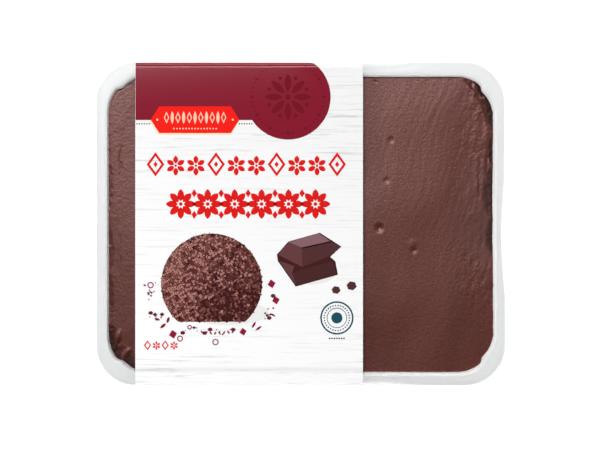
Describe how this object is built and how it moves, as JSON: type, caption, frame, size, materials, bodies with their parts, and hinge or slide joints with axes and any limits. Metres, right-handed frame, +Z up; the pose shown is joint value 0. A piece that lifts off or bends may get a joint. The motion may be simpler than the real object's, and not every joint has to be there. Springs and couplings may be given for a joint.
{
  "type": "chocolate mousse",
  "caption": "Rectangular slab of set dark chocolate mousse in a rimmed white plastic tray, with a folded board sleeve wrapped round its middle.",
  "frame": {"origin": "centre of the tray's plan, on the surface that the sleeve's underside rests on", "axes": "+X along the tray's long side, +Y to its back, +Z up"},
  "size_m": [0.19, 0.1504, 0.0371],
  "materials": {
    "tray": "thermoformed milky white sheet, satin",
    "mousse": "set chocolate mousse, soft satin top with a fine grain",
    "sleeve": "coated white board with flat printed colour, satin"
  },
  "bodies": {
    "root": {"tray": "tray", "mousse": "mousse", "sleeve": "sleeve"}
  },
  "joints": []
}
